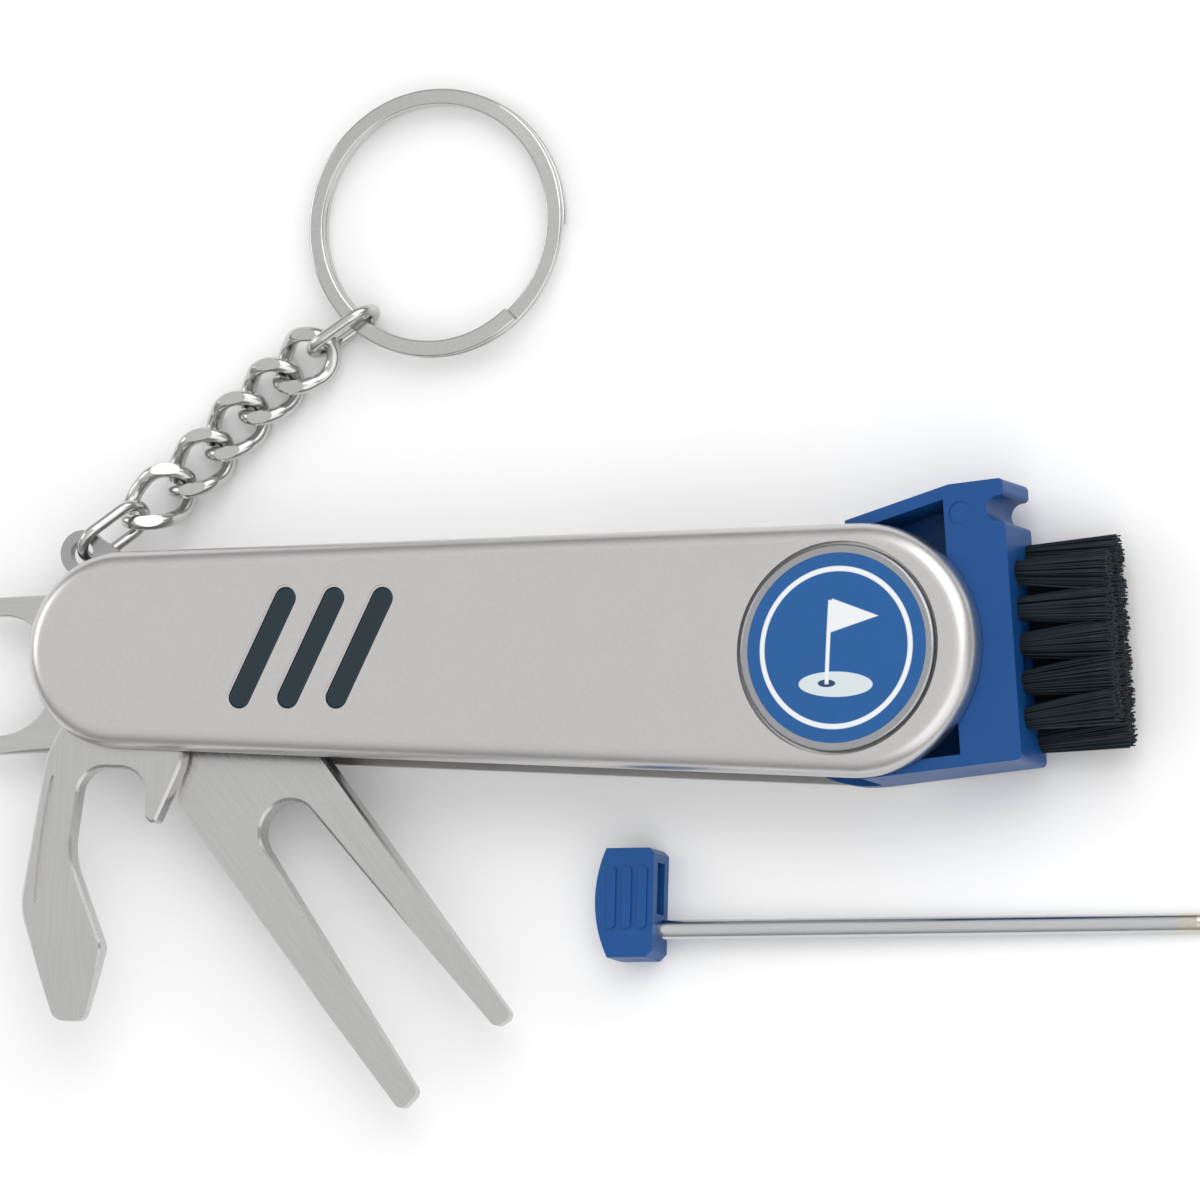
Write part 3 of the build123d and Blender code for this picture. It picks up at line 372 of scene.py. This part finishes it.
def marker_face():
    material, tree, shader = new_finish("Marker enamel", Roughness=0.16)
    shader.inputs["Coat Weight"].default_value = 0.35
    shader.inputs["Specular IOR Level"].default_value = 0.3
    shader.inputs["Coat Roughness"].default_value = 0.04
    x, y = drawing_board(tree, (marker_centre.x, marker_centre.y, 0))
    base = add_node(tree, "ShaderNodeRGB")
    base.outputs[0].default_value = (*ENAMEL_BLUE, 1.0)
    slow = add_node(tree, "ShaderNodeTexNoise", Scale=500.0, Detail=4.0)
    place = add_node(tree, "ShaderNodeTexCoord")
    join(tree, place.outputs["Object"], slow.inputs["Vector"])
    lively = add_node(tree, "ShaderNodeMix", data_type="RGBA", blend_type="MULTIPLY")
    lively.inputs["Factor"].default_value = 0.18
    join(tree, base.outputs[0], lively.inputs["A"])
    join(tree, slow.outputs["Fac"], lively.inputs["B"])
    colour = lively.outputs["Result"]
    # white ring near the rim
    outer = ring_distance(tree, x, y, (0, 0), 9.5 * MM)
    hollow = ring_distance(tree, x, y, (0, 0), 8.9 * MM)
    band = calculate(tree, "MAXIMUM", outer, calculate(tree, "MULTIPLY", hollow, -1.0))
    colour = paint(tree, colour, inside(tree, band), ENAMEL_WHITE)
    # the hole, a flat ellipse of grass colour with a dark cup
    green = ring_distance(tree, x, y, (0.2 * MM, -4.3 * MM), 4.6 * MM, squeeze=0.32)
    colour = paint(tree, colour, inside(tree, green), (0.62, 0.70, 0.72))
    cup = ring_distance(tree, x, y, (-0.9 * MM, -4.2 * MM), 1.1 * MM, squeeze=0.4)
    colour = paint(tree, colour, inside(tree, cup), (0.010, 0.045, 0.13))
    # the pin
    pin = box_distance(tree, x, y, (-0.9 * MM, 0.6 * MM), (0.24 * MM, 4.9 * MM))
    colour = paint(tree, colour, inside(tree, pin), ENAMEL_WHITE)
    # the pennant: right of the pin, between two slanting edges that meet in a point
    left = calculate(tree, "SUBTRACT", -0.7 * MM, x)
    height = calculate(tree, "ABSOLUTE", calculate(tree, "SUBTRACT", y, 3.7 * MM))
    rise = calculate(tree, "SUBTRACT", height, 1.75 * MM)
    slant = calculate(tree, "MULTIPLY_ADD", x, 0.34, rise)
    flag = calculate(tree, "MAXIMUM", left, slant)
    colour = paint(tree, colour, inside(tree, flag), ENAMEL_WHITE)
    join(tree, colour, shader.inputs["Base Color"])
    wave = add_node(tree, "ShaderNodeBump", Strength=0.05, Distance=0.00004)
    join(tree, slow.outputs["Fac"], wave.inputs["Height"])
    join(tree, wave.outputs["Normal"], shader.inputs["Normal"])
    return material


enamel = marker_face()
print("enamel drawn with", len(enamel.node_tree.nodes), "nodes")

# %% [markdown]
# ## Give each piece its finish
#
# The frame's pieces arrive with plain colours. One table names the finish of each, and a
# loop puts it in place of the plain one. Their meshes stay as they are, so flats stay
# flat and bores stay round.

# %% Finish table
finishes = {
    "front_scale": case_steel,
    "back_scale": case_steel,
    "slot_inlays": slate,
    "marker_magnets": plated_steel,
    "marker_disc": rim_steel,
    "marker_enamel": enamel,
    "blade_pivot_barrel": spine_steel,
    "brush_pivot_barrel": spine_steel,
    "blade_pivot_screw": spine_steel,
    "brush_pivot_screw": spine_steel,
    "spine_screw": spine_steel,
    "blade_washers": washer_brass,
    "spine": spine_steel,
    "divot_fork": fork_steel,
    "bottle_opener": opener_steel,
    "spike_wrench": wrench_steel,
    "brush_carrier": brush_blue,
    "pen_head": pen_blue,
    "pen_refill": refill_steel,
    "pen_point": point_metal,
    "key_ring": plated_steel,
}
for i in range(1, 8):
    finishes[f"chain_link_{i}"] = plated_steel

for name, finish in finishes.items():
    piece = nodes[name]
    piece.data.materials.clear()
    piece.data.materials.append(finish)
print("finished", len(finishes), "pieces")

# %% [markdown]
# ## The bristles
#
# A brush is bundles of nylon filaments, each bundle folded over and driven into a drilled
# hole. In the frame each tuft is one solid cone, which is right for touching but wrong to
# look at. Here each tuft becomes a bundle of thin tapered strands: they leave the hole
# tightly packed and fan out, and the outer tufts lean in towards the middle of the row.
# The strands are one mesh per row, made with bmesh: a small ring of corners is carried
# along a bent line.

# %% Strand builder


def strand(mesh, root, tip, bend, radius, sides=5, rings=5):
    """One filament from root to tip, fanned out by bend, thinner at its tip."""
    along = (tip - root).normalized()
    side = along.cross(Vector((0, 0, 1))).normalized()
    over = side.cross(along)
    previous = None
    for i in range(rings + 1):
        t = i / rings
        centre = root.lerp(tip, t) + bend * t ** 0.8
        size = radius * (1.0 - 0.2 * t)
        ring = []
        for k in range(sides):
            a = 2 * math.pi * k / sides
            ring.append(mesh.verts.new(centre + (side * math.cos(a) + over * math.sin(a)) * size))
        if previous:
            for k in range(sides):
                mesh.faces.new((previous[k], previous[(k + 1) % sides], ring[(k + 1) % sides], ring[k]))
        previous = ring
    mesh.faces.new(previous)


def solid_middles(name, along):
    """Both ends of each loose solid of a piece, in the order of its mesh, so always the same."""
    mesh = bmesh.new()
    mesh.from_mesh(nodes[name].data)
    bmesh.ops.remove_doubles(mesh, verts=mesh.verts, dist=1e-7)
    left = set(mesh.verts)
    found = []
    for first in mesh.verts:
        if first not in left:
            continue
        left.discard(first)
        stack = [first]
        island = []
        while stack:
            vert = stack.pop()
            island.append(vert.co.copy())
            for edge in vert.link_edges:
                other = edge.other_vert(vert)
                if other in left:
                    left.discard(other)
                    stack.append(other)
        ends = [min(island, key=lambda co: co.dot(along)), max(island, key=lambda co: co.dot(along))]
        low = ends[0].dot(along)
        high = ends[1].dot(along)
        centre = sum(island, Vector()) / len(island)
        across = centre - along * centre.dot(along)
        found.append((across + along * low, across + along * high))
    mesh.free()
    return found


# %% Build both rows
BRUSH_TURN = math.radians(6.8)
along = Vector((math.cos(BRUSH_TURN), math.sin(BRUSH_TURN), 0))
across = Vector((-math.sin(BRUSH_TURN), math.cos(BRUSH_TURN), 0))
up = Vector((0, 0, 1))
STRANDS = 230
TUFT_ROOT_RADIUS = 0.95 * MM
STRAND_RADIUS = 0.12 * MM
ROOT_DEPTH = 3.0 * MM
SOCKET_DEPTH = 4.0 * MM

for row in ("front_bristles", "back_bristles"):
    mesh = bmesh.new()
    tufts = solid_middles(row, along)
    row_middle = sum((low for low, high in tufts), Vector()) / len(tufts)
    row_half = max(abs((low - row_middle).dot(across)) for low, high in tufts)
    for low, high in tufts:
        start = low + along * (SOCKET_DEPTH - ROOT_DEPTH)
        place = (low - row_middle).dot(across) / row_half
        lean = across * (-0.9 * place - 0.5) * MM
        for _ in range(STRANDS):
            angle = random.uniform(0, 2 * math.pi)
            reach = math.sqrt(random.random())
            offset = (across * math.cos(angle) + up * math.sin(angle)) * reach
            root = start + offset * TUFT_ROOT_RADIUS
            tip = high + offset * TUFT_ROOT_RADIUS
            tip += along * random.uniform(-0.35, 0.25) * MM
            spread = offset * random.uniform(1.0, 1.55) * MM
            spread += lean + across * random.uniform(-0.15, 0.15) * MM
            spread.z *= 0.55
            strand(mesh, root, tip, spread, STRAND_RADIUS)
    data = bpy.data.meshes.new(row + "_strands")
    mesh.to_mesh(data)
    mesh.free()
    data.materials.append(bristle_nylon)
    for polygon in data.polygons:
        polygon.use_smooth = True
    bundle = bpy.data.objects.new(row + "_strands", data)
    bpy.context.scene.collection.objects.link(bundle)
    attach(bundle, "brush")
    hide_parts(row)
    print(row, len(tufts), "tufts", len(data.polygons), "faces")

# %% [markdown]
# ## Floor, lights and camera
#
# The tool lies on a pale table under soft studio light. The floor is a wide flat sheet,
# so no edge of it shows. A bright sky does most of the work, because polished steel
# shows what stands around it: it is brightest overhead and dimmer near the horizon. A big
# key light and a fill on the marker's side keep the shadows thin, and a smaller light at
# the blades' end draws bright lines along the steel edges. The camera looks down through
# a long lens, which keeps the shape of the case true. Its turn is written as three
# directions: right, up and back.

# %% Floor
FLOOR_HALF = 1.2
floor_mesh = bmesh.new()
steps = 24
FLOOR_DROP = 0.02 * MM
for i in range(steps + 1):
    for j in range(steps + 1):
        x = (i / steps * 2 - 1) * FLOOR_HALF
        y = (j / steps * 2 - 1) * FLOOR_HALF
        floor_mesh.verts.new((x, y, -FLOOR_DROP))
floor_mesh.verts.ensure_lookup_table()
for i in range(steps):
    for j in range(steps):
        a = i * (steps + 1) + j
        corners = [a, a + steps + 1, a + steps + 2, a + 1]
        floor_mesh.faces.new([floor_mesh.verts[k] for k in corners])
floor_data = bpy.data.meshes.new("table")
floor_mesh.to_mesh(floor_data)
floor_mesh.free()
floor = bpy.data.objects.new("table", floor_data)
bpy.context.scene.collection.objects.link(floor)
floor_finish, _, _ = new_finish("Pale table", Base_Color=(0.96, 0.96, 0.96, 1.0), Roughness=0.7)
floor_data.materials.append(floor_finish)
print("floor", len(floor_data.polygons), "faces")

# %% Lights


def area_light(name, place, target, size, power):
    """A square soft light that points at a target."""
    light = bpy.data.lights.new(name, "AREA")
    light.shape = "SQUARE"
    light.size = size
    light.energy = power
    lamp = bpy.data.objects.new(name, light)
    lamp.location = place
    lamp.rotation_euler = (Vector(target) - Vector(place)).to_track_quat("-Z", "Y").to_euler()
    bpy.context.scene.collection.objects.link(lamp)
    return lamp


target = (0.01, 0.0, 0.0)
area_light("Key", (0.40, 0.60, 0.75), target, 1.0, 4.5)
area_light("Fill", (0.55, -0.45, 0.60), target, 1.0, 2.5)
area_light("Edge", (-0.75, 0.20, 0.35), target, 0.40, 1.0)
world = bpy.data.worlds.new("Studio")
bpy.context.scene.world = world
world.use_nodes = True
sky = world.node_tree
background = sky.nodes["Background"]
direction = add_node(sky, "ShaderNodeTexCoord")
split = add_node(sky, "ShaderNodeSeparateXYZ")
join(sky, direction.outputs["Generated"], split.inputs["Vector"])
rising = add_node(sky, "ShaderNodeMapRange", interpolation_type="SMOOTHSTEP")
rising.inputs["From Min"].default_value = 0.05
rising.inputs["From Max"].default_value = 0.95
rising.inputs["To Min"].default_value = 0.30
rising.inputs["To Max"].default_value = 0.84
join(sky, split.outputs["Z"], rising.inputs["Value"])
background.inputs["Color"].default_value = (1.0, 1.0, 1.0, 1.0)
join(sky, rising.outputs["Result"], background.inputs["Strength"])
bpy.context.scene.view_settings.view_transform = "Standard"
print("lights placed")

# %% Camera
LOOK_SIDE = math.radians(22.0)
LOOK_DOWN = math.radians(6.7)
screen_up = Vector((0.0, math.cos(LOOK_DOWN), math.sin(LOOK_DOWN)))
screen_right = Vector((math.cos(LOOK_SIDE), math.sin(LOOK_SIDE) * math.sin(LOOK_DOWN),
                       -math.sin(LOOK_SIDE) * math.cos(LOOK_DOWN)))
backwards = screen_right.cross(screen_up)
FRAME_SIZE = 139.8 * MM
DISTANCE = 4.0
# middle of the frame, measured along the two screen directions
SHIFT_RIGHT = 8.4 * MM
SHIFT_UP = 7.25 * MM
camera_data = bpy.data.cameras.new("Camera")
camera_data.sensor_width = 36.0
camera_data.lens = 36.0 * DISTANCE / FRAME_SIZE
camera = bpy.data.objects.new("Camera", camera_data)
aim = screen_right * SHIFT_RIGHT + screen_up * SHIFT_UP
turn = Matrix((screen_right, screen_up, backwards)).transposed().to_4x4()
camera.matrix_world = Matrix.Translation(aim + backwards * DISTANCE) @ turn
bpy.context.scene.collection.objects.link(camera)
bpy.context.scene.camera = camera
print("lens", round(camera_data.lens, 1))
